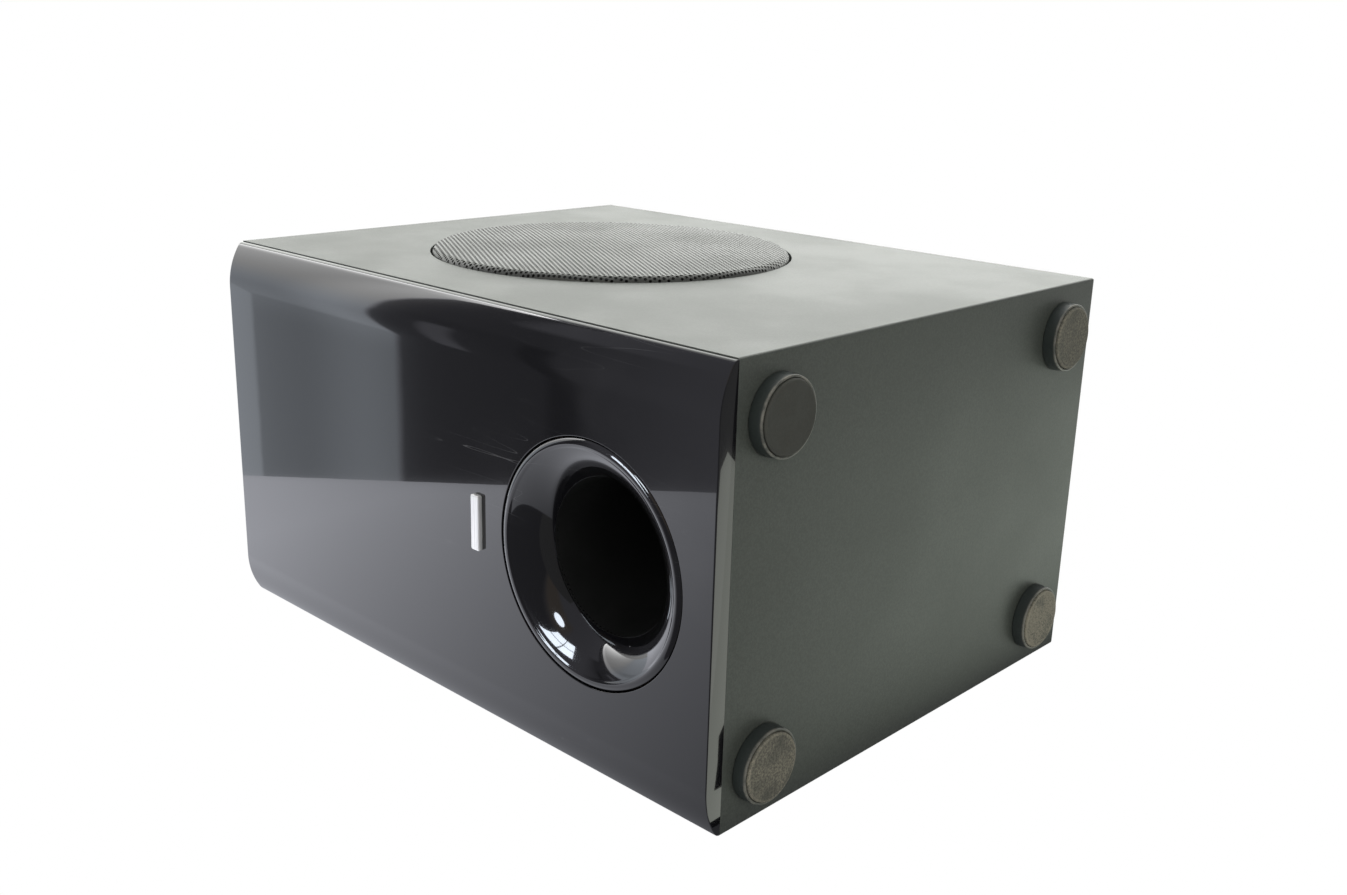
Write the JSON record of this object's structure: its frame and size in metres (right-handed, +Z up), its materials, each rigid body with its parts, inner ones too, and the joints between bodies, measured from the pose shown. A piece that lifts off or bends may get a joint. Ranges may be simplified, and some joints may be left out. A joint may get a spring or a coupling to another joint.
{
  "type": "subwoofer",
  "caption": "Compact upright active subwoofer: ported gloss front, side driver behind a round perforated grille, rear plate amplifier, round feet.",
  "frame": {"origin": "under the middle of the whole product, at the level of the foot pads", "axes": "+Z up; the gloss fascia and port face -Y, the round grille and driver face +X, the amplifier plate is on the back at +Y"},
  "size_m": [0.233, 0.3426, 0.4085],
  "materials": {
    "wrapped_board": "matte black fine-grain vinyl wrap over fibreboard",
    "raw_board": "raw medium-density fibreboard",
    "gloss_black": "high-gloss black lacquer",
    "satin_metal": "satin chrome",
    "grille_steel": "black powder-coated perforated steel",
    "black_plastic": "satin black moulded plastic",
    "peg_plastic": "natural nylon",
    "pad_rubber": "worn dusty rubber",
    "seal_rubber": "black foam rubber seal",
    "screw_steel": "black zinc screws",
    "frame_metal": "grey painted cast alloy",
    "cone_paper": "black pressed paper",
    "spider_cloth": "resin-stiffened cotton",
    "former_foil": "aluminium foil",
    "copper_wire": "enamelled copper wire",
    "magnet_ferrite": "sintered ferrite",
    "plated_steel": "zinc-plated steel",
    "amp_panel": "black powder-coated aluminium",
    "circuit_board": "green solder mask",
    "sink_alloy": "anodised aluminium",
    "chip_epoxy": "black epoxy",
    "can_sleeve": "shrink sleeve",
    "jack_metal": "plated brass shell",
    "lamp_lens": "red diffused lens",
    "cable_sheath": "flexible sheath"
  },
  "bodies": {
    "cabinet": {"top_board": "wrapped_board", "bottom_board": "wrapped_board", "left_board": "wrapped_board", "driver_board": "wrapped_board", "back_board": "wrapped_board", "front_baffle": "raw_board", "shelf_brace": "raw_board", "fascia": "gloss_black", "port_flare": "gloss_black", "badge_bar": "satin_metal", "grille": "grille_steel", "port_tube": "black_plastic", "grille_ring": "black_plastic", "foot_front_left": "black_plastic", "foot_front_right": "black_plastic", "foot_back_left": "black_plastic", "foot_back_right": "black_plastic", "phase_switch": "black_plastic", "power_switch": "black_plastic", "mains_inlet": "black_plastic", "driver_terminals": "black_plastic", "fascia_pegs": "peg_plastic", "foot_pad_front_left": "pad_rubber", "foot_pad_front_right": "pad_rubber", "foot_pad_back_left": "pad_rubber", "foot_pad_back_right": "pad_rubber", "driver_gasket": "seal_rubber", "amp_gasket": "seal_rubber", "surround": "seal_rubber", "driver_screws": "screw_steel", "foot_screws": "screw_steel", "amp_screws": "screw_steel", "driver_frame": "frame_metal", "spider": "spider_cloth", "tinsel_leads": "copper_wire", "transformer": "copper_wire", "magnet": "magnet_ferrite", "top_plate": "plated_steel", "pole_yoke": "plated_steel", "transformer_stud": "plated_steel", "board_standoffs": "plated_steel", "level_pot": "plated_steel", "crossover_pot": "plated_steel", "amp_plate": "amp_panel", "amp_board": "circuit_board", "heat_sink": "sink_alloy", "output_chips": "chip_epoxy", "capacitors": "can_sleeve", "line_input_left": "jack_metal", "line_input_right": "jack_metal", "status_lamp": "lamp_lens", "speaker_cable": "cable_sheath"},
    "cone_assembly": {"cone": "cone_paper", "dust_cap": "cone_paper", "coil_former": "former_foil", "voice_coil": "copper_wire"},
    "level_dial": {"level_knob": "black_plastic"},
    "crossover_dial": {"crossover_knob": "black_plastic"},
    "phase_slide": {"phase_slider": "black_plastic"},
    "power_rocker_body": {"power_rocker": "black_plastic"}
  },
  "joints": [
    {"name": "cone_travel", "type": "slide", "parent": "cabinet", "child": "cone_assembly", "axis": [1, 0, 0], "range_m": [-0.005, 0.005], "stiffness_N_per_m": 1500, "deforming": ["surround", "spider", "tinsel_leads"]},
    {"name": "level_turn", "type": "hinge", "parent": "cabinet", "child": "level_dial", "pos_m": [0.0335, 0.15295, 0.3005], "axis": [0, 1, 0], "range_deg": [-150, 150]},
    {"name": "crossover_turn", "type": "hinge", "parent": "cabinet", "child": "crossover_dial", "pos_m": [-0.0385, 0.15295, 0.3005], "axis": [0, 1, 0], "range_deg": [-150, 150]},
    {"name": "phase_slide_travel", "type": "slide", "parent": "cabinet", "child": "phase_slide", "axis": [-1, 0, 0], "range_m": [0, 0.004]},
    {"name": "power_tip", "type": "hinge", "parent": "cabinet", "child": "power_rocker_body", "pos_m": [-0.0325, 0.15475, 0.1165], "axis": [1, 0, 0], "range_deg": [0, 16]}
  ]
}
